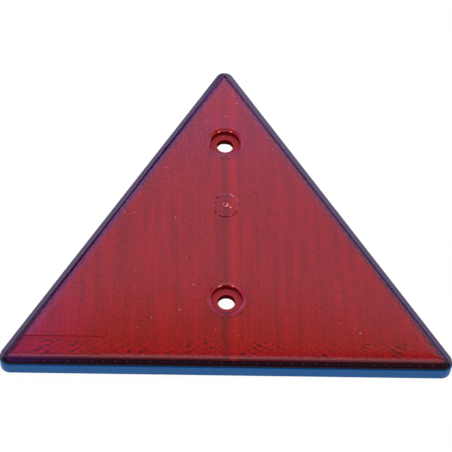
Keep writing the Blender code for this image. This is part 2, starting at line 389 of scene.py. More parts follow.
def node(tree, kind, inputs=(), **settings):
    """Adds a node with its settings; inputs are values, sockets or nodes, by name or in order.

    A node that is given as an input stands for its first output in use."""
    made = tree.nodes.new(kind)
    for name, value in settings.items():
        setattr(made, name, value)
    for socket, value in inputs.items() if isinstance(inputs, dict) else enumerate(inputs):
        if isinstance(value, bpy.types.Node):
            value = next(output for output in value.outputs if output.enabled)
        if isinstance(value, bpy.types.NodeSocket):
            tree.links.new(value, made.inputs[socket])
        else:
            made.inputs[socket].default_value = value
    return made


def new_material(name):
    """An empty material and its tree."""
    material = bpy.data.materials.new(name)
    material.use_nodes = True
    material.node_tree.nodes.clear()
    return material, material.node_tree


def shaded(base, shares):
    """A linear colour with its channels taken down or up."""
    return (*(share * channel for share, channel in zip(shares, base)), 1.0)


# How the light of the field of prisms is painted into its red: a pair is where a change starts
# and ends, and a light is a share
STREAK_WIDTH = 2.38 * MM            # about the width of one column of prisms
STREAK_LENGTH = 33.3 * MM
STREAK_NOISE = (0.3, 0.7)
STREAK_LIGHT = (0.71, 0.90)         # of the darkest and of the brightest streak
BORDER_LIGHT = 0.25
SEAM_LIGHT = 0.5
# The dark borders and the darker seam are painted shade; the column and the strip are painted light
SIDE_BORDER = (2.0 * MM, 4.8 * MM)  # from a slanting side: a dark border
LOWER_BORDER = (3.4 * MM, 4.4 * MM)
NARROWING = 0.5 * MM                # the border at the right is narrower by this
MIDDLE_BAND = (-5 * MM, 5 * MM)     # where the narrowing sets in, along X
SEAM_EDGE = (0.5 * MM, 1.0 * MM)    # from the middle line
COLUMN_X = 2.5 * MM                 # middle of the bright column on the right of the seam
COLUMN_EDGE = (0.9 * MM, 1.9 * MM)  # from its middle
COLUMN_LIGHT = 0.42
STRIP_X = 0.7 * MM                  # how far the strip above the upper hole stands to the left
STRIP_HALF = 3.1 * MM
STRIP_START = (38.0 * MM, 40.0 * MM)    # along Y
STRIP_LIGHT = 0.2
PATCH = 6.25 * MM                   # size of the patches in which the low prisms are alike
PATCH_NOISE = (0.35, 0.65)
PATCH_DEPTH = (0.45, 1.0)           # depth of the spots in the palest and in the darkest patch
WANDER = 7.0                        # how far a patch shifts the spots in it, in radians
LEANING = 0.7                       # strength of the strokes over that of the spots
SPOT_EDGE = (-0.1, 1.1)             # of the waves that make a spot, from none to all of it
SPOT_LIFT, SPOT_DEPTH = 0.2, 0.8    # the light between the spots, and what a spot takes away
UNLIT = (0.15, 1.0, 1.0)            # shares of red, green and blue where no light comes back
UNLIT_SPOTS = (0.15, 0.1, 0.1)
UNLIT_BORDER = (0.1, 1.0, 1.0)


def painted_prism_light(tree, place, base, spotted=False):
    """The light that the prisms throw back, painted into their red: soft streaks along the columns,
    and painted shade at the field's border and beside the seam.

    The first column beside the seam and the strip above the upper hole stand out in painted light."""
    drawn_out = node(tree, "ShaderNodeMapping", {
        "Vector": place, "Scale": (1 / STREAK_WIDTH, 1 / STREAK_LENGTH, 1 / STREAK_LENGTH)})
    streaks = node(tree, NOISE, {"Vector": drawn_out, "Scale": 1.0, "Detail": 2.0})
    at = node(tree, SEPARATE, (place,)).outputs
    from_middle = node(tree, MATH, (at["X"],), operation="ABSOLUTE")
    sideways = node(tree, MATH, (from_middle, cos(SIDE_WAY)), operation="MULTIPLY")
    rise = node(tree, MATH, (at["Y"], middle_y()), operation="SUBTRACT")
    upwards = node(tree, MATH, (rise, sin(SIDE_WAY)), operation="MULTIPLY")
    reach = node(tree, MATH, (sideways, upwards), operation="ADD")
    to_side = node(tree, MATH, (inradius(), reach), operation="SUBTRACT")
    narrowing = node(tree, RANGE, (at["X"], *MIDDLE_BAND, 0.0, NARROWING), **SOFT)
    narrowed = node(tree, MATH, (to_side, narrowing), operation="ADD")
    border = node(tree, RANGE, (narrowed, *SIDE_BORDER, BORDER_LIGHT, 1.0), **SOFT)
    to_lower = node(tree, MATH, (at["Y"], TRAY_LOW.y), operation="SUBTRACT")
    lower = node(tree, RANGE, (to_lower, *LOWER_BORDER, 0.0, 1.0), **SOFT)
    seam = node(tree, RANGE, (from_middle, *SEAM_EDGE, SEAM_LIGHT, 1.0), **SOFT)
    shade = node(tree, MATH, (lower, seam), operation="MULTIPLY")
    streaked = node(tree, RANGE, (streaks, *STREAK_NOISE, *STREAK_LIGHT), **SOFT)
    level = node(tree, MATH, (streaked, shade), operation="MULTIPLY")
    off_column = node(tree, MATH, (at["X"], COLUMN_X), operation="SUBTRACT")
    from_column = node(tree, MATH, (off_column,), operation="ABSOLUTE")
    column = node(tree, RANGE, (from_column, *COLUMN_EDGE, COLUMN_LIGHT, 0.0), **SOFT)
    off_strip = node(tree, MATH, (at["X"], STRIP_X), operation="ADD")
    from_strip = node(tree, MATH, (off_strip,), operation="ABSOLUTE")
    in_strip = node(tree, MATH, (from_strip, STRIP_HALF), operation="LESS_THAN")
    high_up = node(tree, RANGE, (at["Y"], *STRIP_START, 0.0, STRIP_LIGHT), **SOFT)
    strip = node(tree, MATH, (in_strip, high_up), operation="MULTIPLY")
    extra = node(tree, MATH, (column, strip), operation="MAXIMUM")
    lit = node(tree, MATH, (level, extra), operation="ADD")
    if spotted:
        # Low down, the dark tray seen through the prisms is painted as one dark spot in each cell,
        # more in some than in others, and the spots run into strokes that lean away from the seam.
        # In a real cell these are several reflections, too fine to show, so they are painted as
        # coarse as one for each cell.
        pitch = bpy.context.scene.reflector_prisms.pitch
        patches = node(tree, NOISE, {"Vector": place, "Scale": 1 / PATCH, "Detail": 1.0})
        wander = node(tree, MATH, (patches, WANDER), operation="MULTIPLY")
        columns = node(tree, MATH, (from_middle, 2 * pi / (pitch * sqrt(3))), operation="MULTIPLY")
        across = node(tree, MATH, (columns, wander), operation="ADD")
        rows = node(tree, MATH, (at["Y"], 2 * pi / pitch), operation="MULTIPLY")
        along = node(tree, MATH, (rows, wander), operation="ADD")
        aslant = node(tree, MATH, (across, along), operation="ADD")
        waves = [node(tree, MATH, (turn,), operation="COSINE") for turn in (across, along, aslant)]
        dots = node(tree, MATH, waves[:2], operation="MULTIPLY")
        leaning = node(tree, MATH, (waves[2], LEANING), operation="MULTIPLY")
        strokes = node(tree, MATH, (dots, leaning), operation="ADD")
        depth = node(tree, RANGE, (patches, *PATCH_NOISE, *PATCH_DEPTH), **SOFT)
        spot = node(tree, RANGE, (strokes, *SPOT_EDGE, 0.0, 1.0), **SOFT)
        spots = node(tree, MATH, (spot, depth), operation="MULTIPLY")
        lifted = node(tree, MATH, (lit, SPOT_LIFT), operation="ADD")
        taken = node(tree, MATH, (spots, SPOT_DEPTH), operation="MULTIPLY")
        lit = node(tree, MATH, (lifted, taken), operation="SUBTRACT")
    unlit = shaded(base, UNLIT_SPOTS if spotted else UNLIT)
    red = node(tree, MIX, {"Factor": lit, "A": unlit, "B": base}, **COLOUR)
    return node(tree, MIX, {
        "Factor": border, "A": shaded(base, UNLIT_BORDER), "B": red}, **COLOUR)


def painted_spotted_prism_light(tree, place, base):
    """The painted light of the prisms along the lower side, with the tray painted in as dark spots.
    """
    return painted_prism_light(tree, place, base, True)


def acrylic(name, colour, roughness, transmission=0.0, specular=0.5, painted_light=None):
    """Polymethyl methacrylate, red through and through, injection moulded and polished.

    It bends light like a lens, so the prisms show through the face; the moulded face is a
    little wavy, with a ripple about every 11 mm."""
    material, tree = new_material(name)
    place = node(tree, "ShaderNodeTexCoord").outputs["Object"]
    base = linear(colour)
    waves = node(tree, NOISE, {"Vector": place, "Scale": 1 / (11.1 * MM), "Detail": 2.0})
    bump = node(tree, "ShaderNodeBump", {"Height": waves, "Strength": 0.03, "Distance": 0.2 * MM})
    shader = node(tree, "ShaderNodeBsdfPrincipled", {
        "Base Color": painted_light(tree, place, base) if painted_light else base,
        "Roughness": roughness,
        "IOR": 1.49,
        "Transmission Weight": transmission,
        "Specular IOR Level": specular,
        "Normal": bump,
    })
    node(tree, "ShaderNodeOutputMaterial", (shader,))
    return material


def lens_finishes():
    """The finishes of the lens, in the order of its slots."""
    colours = bpy.context.scene.reflector_finishes
    return (
        acrylic("clear_red_acrylic", colours.acrylic, roughness=0.04, transmission=1.0),
        # The light that the prisms throw back is painted into their colour, mostly as an even red
        acrylic("red_acrylic_prisms_painted_light", colours.facets_painted_light, roughness=0.06, transmission=0.1,
                painted_light=painted_prism_light),
        # Those along the lower side are seen more steeply, and the dark tray between them is
        # painted in as spots
        acrylic("red_acrylic_deep_prisms_painted_light", colours.deep_painted_light, roughness=0.04, transmission=0.15,
                painted_light=painted_spotted_prism_light),
        # Round the edge the red is seen against the dark inside of the joint, which is painted
        # shade
        acrylic("red_acrylic_rim", colours.rim, roughness=0.05, transmission=1.0),
        # Painted shade: a dark matt finish on the upright edge, its foot and the rib
        acrylic("red_acrylic_weld_painted_shade", colours.weld, roughness=0.35, specular=0.05),
        # Painted shade: a dark matt red on the walls of the holes and of the label recess,
        # and in the gate's dark marks and the stub's crater
        acrylic("red_acrylic_bores_painted_shade", colours.bore_shade, roughness=0.5, specular=0.0),
        acrylic("red_acrylic_seats", colours.seat, roughness=0.5, specular=0.0),
        # Broken acrylic turns pale; the same pale finish also paints highlights on the gate's
        # border, the mouths and the pips of the joint
        acrylic("crazed_acrylic_and_painted_highlight", colours.frost_and_glint, roughness=0.4, specular=0.1),
    )


def tray_material():
    """Acrylonitrile butadiene styrene, blue, injection moulded in a finely eroded tool.

    The grain gives it a soft sheen, and the blue is a little uneven, in clouds of 17 mm. The
    real grain is about 0.05 mm, too fine to show, and is drawn five times as coarse."""
    material, tree = new_material("blue_abs")
    place = node(tree, "ShaderNodeTexCoord").outputs["Object"]
    base = linear(bpy.context.scene.reflector_finishes.tray)
    cloud = node(tree, NOISE, {"Vector": place, "Scale": 1 / (16.7 * MM), "Detail": 3.0})
    blue = node(tree, MIX, {
        "Factor": cloud, "A": shaded(base, (0.86,) * 3), "B": shaded(base, (1.14,) * 3)}, **COLOUR)
    grain = node(tree, NOISE, {"Vector": place, "Scale": 1 / (0.25 * MM), "Detail": 1.0})
    bump = node(tree, "ShaderNodeBump", {"Height": grain, "Strength": 0.15, "Distance": 0.05 * MM})
    shader = node(tree, "ShaderNodeBsdfPrincipled", {
        "Base Color": blue, "Roughness": 0.38, "IOR": 1.5, "Specular IOR Level": 0.14,
        "Normal": bump})
    node(tree, "ShaderNodeOutputMaterial", (shader,))
    return material


def dust_material():
    """Household dust: pale, matt flecks, with the red light from the lens below painted into them.

    Its shade changes three times in a millimetre, so that each fleck has its own."""
    material, tree = new_material("dust")
    place = node(tree, "ShaderNodeTexCoord").outputs["Object"]
    pale = linear(bpy.context.scene.reflector_finishes.dust)
    cloud = node(tree, NOISE, {"Vector": place, "Scale": 3 / MM, "Detail": 1.0})
    shade = node(tree, MIX, {"Factor": cloud, "A": shaded(pale, (0.7,) * 3), "B": pale}, **COLOUR)
    shader = node(tree, "ShaderNodeBsdfPrincipled", {
        "Base Color": shade, "Roughness": 0.9, "Specular IOR Level": 0.0})
    node(tree, "ShaderNodeOutputMaterial", (shader,))
    return material


def geometry_tree(name, inputs, output):
    """A geometry nodes tree with named sockets; also gives what the inputs hold inside it."""
    tree = bpy.data.node_groups.new(name, "GeometryNodeTree")
    for label, kind in inputs.items():
        tree.interface.new_socket(label, in_out="INPUT", socket_type="NodeSocket" + kind)
    tree.interface.new_socket(output, in_out="OUTPUT", socket_type="NodeSocketGeometry")
    return tree, node(tree, "NodeGroupInput").outputs


def pip_tree():
    """Geometry nodes that set one small pip at each step along a closed line."""
    tree, given = geometry_tree("painted_glint_pips", {
        "Line": "Geometry", "Spacing": "Float", "Radius": "Float", "Finish": "Material"}, "Pips")
    line = node(tree, "GeometryNodeMeshToCurve", (given["Line"],))
    steps = node(tree, "GeometryNodeResampleCurve", {
        "Curve": line, "Length": given["Spacing"]}, mode="LENGTH")
    pip = node(tree, "GeometryNodeMeshIcoSphere", {"Radius": given["Radius"], "Subdivisions": 1})
    pips = node(tree, "GeometryNodeInstanceOnPoints", {"Points": steps, "Instance": pip})
    real = node(tree, "GeometryNodeRealizeInstances", (pips,))
    finished = node(tree, "GeometryNodeSetMaterial", {
        "Geometry": real, "Material": given["Finish"]})
    node(tree, "NodeGroupOutput", (finished,))
    return tree


FLECK_LENGTH = 1.5              # of a fleck, over its width
FLECK_HEIGHT = 0.35
LARGE_FLECK = 2.4               # the largest loose fleck over the largest scattered one


def dust_tree():
    """Geometry nodes that scatter flat flecks over a face, with larger ones on loose points."""
    tree, given = geometry_tree("dust_flecks", {
        "Face": "Geometry", "Density": "Float", "Smallest": "Float", "Largest": "Float",
        "Seed": "Int", "Finish": "Material"}, "Flecks")

    def flecks(points, smallest, largest, shift):
        seed = node(tree, MATH, (given["Seed"], shift), operation="ADD")
        size, turn = (
            node(tree, "FunctionNodeRandomValue", {"Min": least, "Max": most, "Seed": seed})
            for least, most in ((smallest, largest), (0.0, 2 * pi)))
        length = node(tree, MATH, (size, FLECK_LENGTH), operation="MULTIPLY")
        height = node(tree, MATH, (size, FLECK_HEIGHT), operation="MULTIPLY")
        scale = node(tree, COMBINE, (length, size, height))
        facing = node(tree, COMBINE, {"Z": turn})
        grain = node(tree, "GeometryNodeMeshIcoSphere", {"Radius": 1.0, "Subdivisions": 1})
        return node(tree, "GeometryNodeInstanceOnPoints", {
            "Points": points, "Instance": grain, "Rotation": facing, "Scale": scale})

    scattered = node(tree, "GeometryNodeDistributePointsOnFaces", {
        "Mesh": given["Face"], "Density": given["Density"], "Seed": given["Seed"]})
    neighbours = node(tree, "GeometryNodeInputMeshVertexNeighbors").outputs["Vertex Count"]
    loose = node(tree, "FunctionNodeCompare", {"A": neighbours, "B": 0}, **EQUAL_COUNT)
    placed = node(tree, "GeometryNodeMeshToPoints", {"Mesh": given["Face"], "Selection": loose})
    large = node(tree, MATH, (given["Largest"], LARGE_FLECK), operation="MULTIPLY")
    joined = node(tree, "GeometryNodeJoinGeometry")
    for strewn in (flecks(scattered, given["Smallest"], given["Largest"], 1),
                   flecks(placed, given["Largest"], large, 2)):
        tree.links.new(strewn.outputs[0], joined.inputs[0])
    real = node(tree, "GeometryNodeRealizeInstances", (joined,))
    finished = node(tree, "GeometryNodeSetMaterial", {
        "Geometry": real, "Material": given["Finish"]})
    node(tree, "NodeGroupOutput", (finished,))
    return tree


def prism_tree():
    """Geometry nodes that lay corner cubes, point down, on a hexagonal grid in two halves.

    Each cell is one corner of a cube seen along its long diagonal. Its point is two steps
    down; round it, corners of the hexagon lie one step down and none in turn."""
    tree, given = geometry_tree("corner_cubes", {
        "Geometry": "Geometry", "Pitch": "Float", "Middle Y": "Float", "Inradius": "Float",
        "Seam": "Float", "Valley": "Float", "Top": "Float", "Deep Below": "Float",
        "Columns": "Int", "Rows": "Int", "Clear": "Material", "Facets": "Material",
        "Deep": "Material"}, "Geometry")
    position = node(tree, "GeometryNodeInputPosition")
    at = node(tree, SEPARATE, (position,)).outputs
    from_middle = node(tree, MATH, (at["X"],), operation="ABSOLUTE")
    column_space = node(tree, MATH, (given["Pitch"], sqrt(3) / 2), operation="MULTIPLY")
    reach = node(tree, MATH, (given["Pitch"], sqrt(3)), operation="DIVIDE")
    step = node(tree, MATH, (given["Pitch"], sqrt(6)), operation="DIVIDE")
    half_pitch, half_column, half_reach, half_seam = (
        node(tree, MATH, (whole, 0.5), operation="MULTIPLY")
        for whole in (given["Pitch"], column_space, reach, given["Seam"]))

    # The grid of cell centres: columns run along Y, and every other one stands half a cell up
    column_gaps = node(tree, MATH, (given["Columns"], 1.0), operation="SUBTRACT")
    row_gaps = node(tree, MATH, (given["Rows"], 1.0), operation="SUBTRACT")
    grid = node(tree, "GeometryNodeMeshGrid", {
        "Size X": node(tree, MATH, (column_gaps, column_space), operation="MULTIPLY"),
        "Size Y": node(tree, MATH, (row_gaps, given["Pitch"]), operation="MULTIPLY"),
        "Vertices X": given["Columns"],
        "Vertices Y": given["Rows"],
    })
    half = node(tree, MATH, (at["X"],), operation="SIGN")
    in_columns = node(tree, MATH, (from_middle, column_space), operation="DIVIDE")
    column = node(tree, MATH, (in_columns,), operation="FLOOR")
    odd = node(tree, MATH, (column, 2.0), operation="MODULO")
    # Each half moves until the seam only cuts the tips off its first cells
    moved_in = node(tree, MATH, (half_seam, half_column), operation="SUBTRACT")
    clear_of_seam = node(tree, MATH, (moved_in, half_reach), operation="ADD")
    raised_half = node(tree, MATH, (odd, half_pitch), operation="MULTIPLY")
    shift = node(tree, COMBINE, {
        "X": node(tree, MATH, (half, clear_of_seam), operation="MULTIPLY"),
        "Y": node(tree, MATH, (given["Middle Y"], raised_half), operation="ADD"),
    })
    centres = node(tree, "GeometryNodeSetPosition", {"Geometry": grid, "Offset": shift})

    # Cells that lie wholly outside the triangle are left out
    rise = node(tree, MATH, (at["Y"], given["Middle Y"]), operation="SUBTRACT")
    fall = node(tree, MATH, (rise, -1.0), operation="MULTIPLY")
    sideways = node(tree, MATH, (from_middle, cos(SIDE_WAY)), operation="MULTIPLY")
    upwards = node(tree, MATH, (rise, sin(SIDE_WAY)), operation="MULTIPLY")
    slope = node(tree, MATH, (sideways, upwards), operation="ADD")
    limit = node(tree, MATH, (given["Inradius"], half_pitch), operation="ADD")
    beyond_side = node(tree, MATH, (slope, limit), operation="GREATER_THAN")
    beyond_foot = node(tree, MATH, (fall, limit), operation="GREATER_THAN")
    outside = node(tree, "FunctionNodeBooleanMath", (beyond_side, beyond_foot), operation="OR")
    kept = node(tree, "GeometryNodeDeleteGeometry", {
        "Geometry": centres, "Selection": outside}, domain="POINT")
    points = node(tree, "GeometryNodeMeshToPoints", {"Mesh": kept})
    # The cells of the left half are turned half round
    at_left = node(tree, MATH, (at["X"], 0.0), operation="LESS_THAN")
    facing = node(tree, COMBINE, {"Z": node(tree, MATH, (at_left, pi), operation="MULTIPLY")})

    # One cell: a fan of six triangles whose corners are dropped by their place in the ring
    fan = node(tree, "GeometryNodeMeshCircle", {
        "Vertices": 6, "Radius": reach}, fill_type="TRIANGLE_FAN")
    from_centre = node(tree, "ShaderNodeVectorMath", (position,), operation="LENGTH")
    centre = node(tree, MATH, (from_centre, half_reach), operation="LESS_THAN")
    in_turn = node(tree, MATH, (node(tree, "GeometryNodeInputIndex"), 2.0), operation="MODULO")
    even = node(tree, MATH, (1.0, in_turn), operation="SUBTRACT")
    on_ring = node(tree, MATH, (1.0, centre), operation="SUBTRACT")
    centre_steps = node(tree, MATH, (centre, 2.0), operation="MULTIPLY")
    ring_steps = node(tree, MATH, (on_ring, even), operation="MULTIPLY")
    steps = node(tree, MATH, (centre_steps, ring_steps), operation="ADD")
    drop = node(tree, MATH, (steps, step), operation="MULTIPLY")
    level = node(tree, MATH, (given["Valley"], drop), operation="SUBTRACT")
    cube = node(tree, "GeometryNodeSetPosition", {
        "Geometry": fan, "Offset": node(tree, COMBINE, {"Z": level})})
    cubes = node(tree, "GeometryNodeInstanceOnPoints", {
        "Points": points, "Instance": cube, "Rotation": facing})
    loose = node(tree, "GeometryNodeRealizeInstances", (cubes,))
    sheet = node(tree, "GeometryNodeMergeByDistance", {"Geometry": loose, "Distance": SKIN})

    # Walls rise from the sheet's border to a flat top, one hexagon for each cell
    uses = node(tree, "GeometryNodeInputMeshEdgeNeighbors")
    border = node(tree, "FunctionNodeCompare", {"A": uses, "B": 1}, **EQUAL_COUNT)
    walls = node(tree, "GeometryNodeExtrudeMesh", {
        "Mesh": sheet, "Selection": border, "Offset": node(tree, COMBINE, {"Z": 1.0}),
        "Offset Scale": SKIN}, mode="EDGES")
    levelled = node(tree, "GeometryNodeSetPosition", {
        "Geometry": walls, "Selection": walls.outputs["Top"],
        "Position": node(tree, COMBINE, (at["X"], at["Y"], given["Top"]))})
    lid = node(tree, "GeometryNodeMeshCircle", {"Vertices": 6, "Radius": reach}, fill_type="NGON")
    raised = node(tree, "GeometryNodeSetPosition", {
        "Geometry": lid, "Offset": node(tree, COMBINE, {"Z": given["Top"]})})
    lids = node(tree, "GeometryNodeInstanceOnPoints", {"Points": points, "Instance": raised})
    joined = node(tree, "GeometryNodeJoinGeometry")
    for shape in (levelled, lids):
        tree.links.new(shape.outputs[0], joined.inputs[0])
    real = node(tree, "GeometryNodeRealizeInstances", (joined,))
    closed = node(tree, "GeometryNodeMergeByDistance", {"Geometry": real, "Distance": SKIN / 2})

    # The slanting faces are the facets; the lids and the walls stay clear
    whole = node(tree, "GeometryNodeSetMaterial", {"Geometry": closed, "Material": given["Clear"]})
    lean = node(tree, SEPARATE, (node(tree, "GeometryNodeInputNormal"),)).outputs["Z"]
    upright = node(tree, MATH, (lean,), operation="ABSOLUTE")
    not_wall = node(tree, MATH, (upright, 0.1), operation="GREATER_THAN")
    not_lid = node(tree, MATH, (upright, 0.9), operation="LESS_THAN")
    slanting = node(tree, MATH, (not_wall, not_lid), operation="MULTIPLY")
    finished = node(tree, "GeometryNodeSetMaterial", {
        "Geometry": whole, "Selection": slanting, "Material": given["Facets"]})
    low = node(tree, MATH, (at["Y"], given["Deep Below"]), operation="LESS_THAN")
    deep_painted_light = node(tree, MATH, (slanting, low), operation="MULTIPLY")
    lowest = node(tree, "GeometryNodeSetMaterial", {
        "Geometry": finished, "Selection": deep_painted_light, "Material": given["Deep"]})
    node(tree, "NodeGroupOutput", (lowest,))
    return tree


def grow(name, tree, values, start=None):
    """Runs a geometry nodes tree with named inputs and returns the result as a plain object."""
    data = bpy.data.meshes.new(name)
    if start:
        start.to_mesh(data)
        start.free()
    item = bpy.data.objects.new(name, data)
    bpy.context.scene.collection.objects.link(item)
    modifier = item.modifiers.new(name, "NODES")
    modifier.node_group = tree
    for socket in tree.interface.items_tree:
        if socket.in_out == "INPUT" and socket.name in values:
            modifier[socket.identifier] = values[socket.name]
    mesh = evaluated(item)
    item.modifiers.clear()
    item.data = mesh
    return item


def box(name, size, middle):
    """A plain block with a size and a place."""
    mesh = bmesh.new()
    bmesh.ops.create_cube(mesh, size=1.0)
    bmesh.ops.scale(mesh, vec=size, verts=mesh.verts[:])
    bmesh.ops.translate(mesh, vec=middle, verts=mesh.verts[:])
    return shown(name, mesh)


def prism_block(finishes):
    """The field of prisms as one closed block, cut to the field's outline."""
    lens = bpy.context.scene.reflector_lens
    prisms = bpy.context.scene.reflector_prisms
    plate_back = FRONT - lens.plate
    top = FRONT - lens.plate / 2
    field_inset = lens.rib_inset + lens.rib_width + prisms.margin
    values = {
        "Pitch": prisms.pitch,
        "Middle Y": middle_y(),
        "Inradius": inradius() - field_inset,
        "Seam": prisms.seam,
        "Valley": plate_back - prisms.valley_drop,
        "Top": top,
        "Columns": 2 * ceil(TRAY_HIGH.x / (prisms.pitch * sqrt(3) / 2)),
        "Rows": 2 * ceil(2 * inradius() / prisms.pitch) + 1,
        "Deep Below": TRAY_LOW.y + prisms.deep_band,
        "Clear": finishes[CLEAR],
        "Facets": finishes[FACETS_PAINTED_LIGHT],
        "Deep": finishes[DEEP_PAINTED_LIGHT],
    }
    block = grow("prism_block", prism_tree(), values)
    clean = bmesh.new()
    clean.from_mesh(block.data)
    bmesh.ops.recalc_face_normals(clean, faces=clean.faces[:])
    clean.to_mesh(block.data)
    clean.free()

    # The tools that cut it reach well below the points of the prisms
    foot = plate_back - 3 * prisms.pitch
    tall = 2 * (FRONT - foot)
    long_way = 2 * (TRAY_HIGH.y - TRAY_LOW.y)
    border = [(field_inset, foot), (field_inset, top - lens.plate / 4)]
    field = shown("prism_field", lofted(border, lens.corner_radius + LENS_STEP))
    gaps = bmesh.new()
    boss_reach = lens.counterbore / 2 + lens.boss_wall + prisms.boss_margin
    for y in HOLES:
        turned(gaps, y, [(boss_reach, foot - MM), (boss_reach, FRONT)])
    bosses = shown("boss_clearance", gaps)
    seam = box("seam_clearance", (prisms.seam, long_way, tall), (0, 0, foot))
    lower = box("lower_clearance", (long_way, 2 * prisms.lower_margin, tall), (0, TRAY_LOW.y, foot))
    combine(field, (bosses, "DIFFERENCE"), (seam, "DIFFERENCE"), (lower, "DIFFERENCE"))
    return combine(block, (field, "INTERSECT"))


def lens_places():
    """(inset, z) places from the front face, round the rim and the rib, to the back.

    Those of the face add a corner of their own, because the crease has sharper corners than the
    edge. The second list holds the finish of each band between two places."""
    sizes = bpy.context.scene.reflector_lens
    slope = atan2(sizes.bevel_drop, sizes.bevel_width)
    crease = LENS_STEP + sizes.bevel_width
    reach = sizes.crease_reach
    places = [(crease + reach + sizes.crown_width, FRONT)]
    leans = [sizes.crown_slope * (step + 0.5) / EDGE_STEPS for step in range(EDGE_STEPS)]
    steepening = slope - sizes.crown_slope
    leans += [sizes.crown_slope + steepening * (step + 0.5) / EDGE_STEPS
              for step in range(EDGE_STEPS)]
    for number, lean in enumerate(leans):
        width = (sizes.crown_width if number < EDGE_STEPS else 2 * reach) / EDGE_STEPS
        inset, height = places[-1]
        places.append((inset - width, height - width * tan(lean)))
    finishes = [CLEAR] * EDGE_STEPS + [RIM] * EDGE_STEPS
    rounded = LENS_STEP + sizes.edge_round
    for number, (inset, height) in enumerate(places):
        corner = sizes.corner_radius - sizes.edge_round - sizes.corner_taper * (inset - rounded)
        places[number] = (inset, height, max(corner, 0) + inset)
    edge = places[-1][1] - (crease - reach - LENS_STEP) * tan(slope)
    radius = sizes.edge_round
    for step in range(EDGE_STEPS + 1):
        turn = (pi / 2 - slope) * (1 - step / EDGE_STEPS)
        places.append((LENS_STEP + radius * (1 - cos(turn)), edge - radius * (1 - sin(turn))))
        finishes.append(RIM if step < EDGE_STEPS - 1 else WELD_SHADE)
    # The upright edge, its foot and the rib get a dark finish of painted shade
    places.append((LENS_STEP, RIM_FOOT))
    finishes += [WELD_SHADE, WELD_SHADE]
    rib_inner = sizes.rib_inset + sizes.rib_width
    places += [(sizes.rib_inset, RIM_FOOT), (sizes.rib_inset, RIM_FOOT - sizes.rib_depth)]
    places += [(rib_inner, RIM_FOOT - sizes.rib_depth), (rib_inner, FRONT - sizes.plate)]
    finishes += [WELD_SHADE, WELD_SHADE, WELD_SHADE, FACETS_PAINTED_LIGHT]
    return places, finishes


def label_recess():
    """A thin block that follows the bevel on its slanting side and is rounded on the other."""
    lens = bpy.context.scene.reflector_lens
    label = bpy.context.scene.reflector_label
    inset = LENS_STEP + lens.bevel_width + label.margin
    foot = middle_y() - inradius() + inset
    start = sqrt(3) * (inset - inradius())
    end = start + label.length
    places = [(start + label.height / sqrt(3), foot + label.height), (start, foot)]
    corners = ((foot + label.rounding, -90), (foot + label.height - label.rounding, 0))
    for centre_y, first_turn in corners:
        for step in range(EDGE_STEPS + 1):
            turn = radians(first_turn + 90 * step / EDGE_STEPS)
            places.append((end - label.rounding * (1 - cos(turn)),
                           centre_y + label.rounding * sin(turn)))
    mesh = bmesh.new()
    rings = [[Vector((x, y, z)) for x, y in places] for z in (FRONT - label.depth, FRONT + MM)]
    # The walls of the recess get the bores' painted shade
    skinned(mesh, rings, [BORE_SHADE, CLEAR])
    return mesh


# Sectors of a ring, in degrees from +X
MOUTH_GLINTS = ((62, 72), (108, 121))
MOUTH_NEAR_SIDE = ((-170, -10),)
GATE_HIGHLIGHT = ((48, 70),)
GATE_SHADE_ARCS = ((36, 87), (104, 140))
GATE_SHADE_DASHES = ((-147, -134), (-120, -72), (-60, -30))
GATE_BEND = 0.6                 # height of the bend in the disc's border, over the disc's
# The broken stub: its diameter over the radius, the millimetres above the disc, and the finish
# from there inwards; its pale ring is crazed acrylic and a painted highlight, and its crater has
# painted shade
STUB = ((2, 0.0, CLEAR), (2.6, 0.25, FROST_AND_GLINT), (3.2, 0.22, BORE_SHADE), (6, -0.1, BORE_SHADE))
# Its slant, the place of a chip beside it and the chip's radius, over its diameter
STUB_SLANT = (-0.15, 0.1)
CHIP_PLACE = (0.72, -0.42)
CHIP_RADIUS = 0.19


def boss_solids(sizes):
    """The bosses, and what is cut out of them: screw hole, counterbore and shallow dish."""
    bosses = bmesh.new()
    bores = bmesh.new()
    seat = FRONT - sizes.counterbore_depth
    hole = sizes.screw_hole / 2
    wide = sizes.counterbore / 2
    boss = wide + sizes.boss_wall
    rise = tan(sizes.dish_slope)
    mouth = FRONT - sizes.dish_width * rise
    for y in HOLES:
        turned(bosses, y, [(boss, BOSS_FOOT), (boss, FRONT - sizes.plate - SKIN)], [FACETS_PAINTED_LIGHT, FACETS_PAINTED_LIGHT])
        places = [(hole, BOSS_FOOT - MM), (hole, seat), (wide, seat)]
        for step in range(EDGE_STEPS + 1):
            turn = (pi / 2 - sizes.dish_slope) * step / EDGE_STEPS
            places.append((wide + sizes.mouth_round * (1 - cos(turn)),
                           mouth - sizes.mouth_round * (1 - sin(turn))))
        reach, height = places[-1]
        places += [(reach + 2 * sizes.dish_width, height + 2 * sizes.dish_width * rise),
                   (reach + 2 * sizes.dish_width, FRONT + MM)]
        # The walls of the screw hole and of the counterbore get the bores' painted shade
        turned(bores, y, places, [BORE_SHADE, SEAT, BORE_SHADE] + [CLEAR] * (EDGE_STEPS + 3))
        # Painted highlights in small sectors at the far side of the mouth
        mark(bores, y, mouth - sizes.mouth_round, mouth, MOUTH_GLINTS, FROST_AND_GLINT)
        mark(bores, y, mouth - sizes.mouth_round, mouth, MOUTH_NEAR_SIDE, SEAT)
    return shown("bosses", bosses), shown("bores", bores)


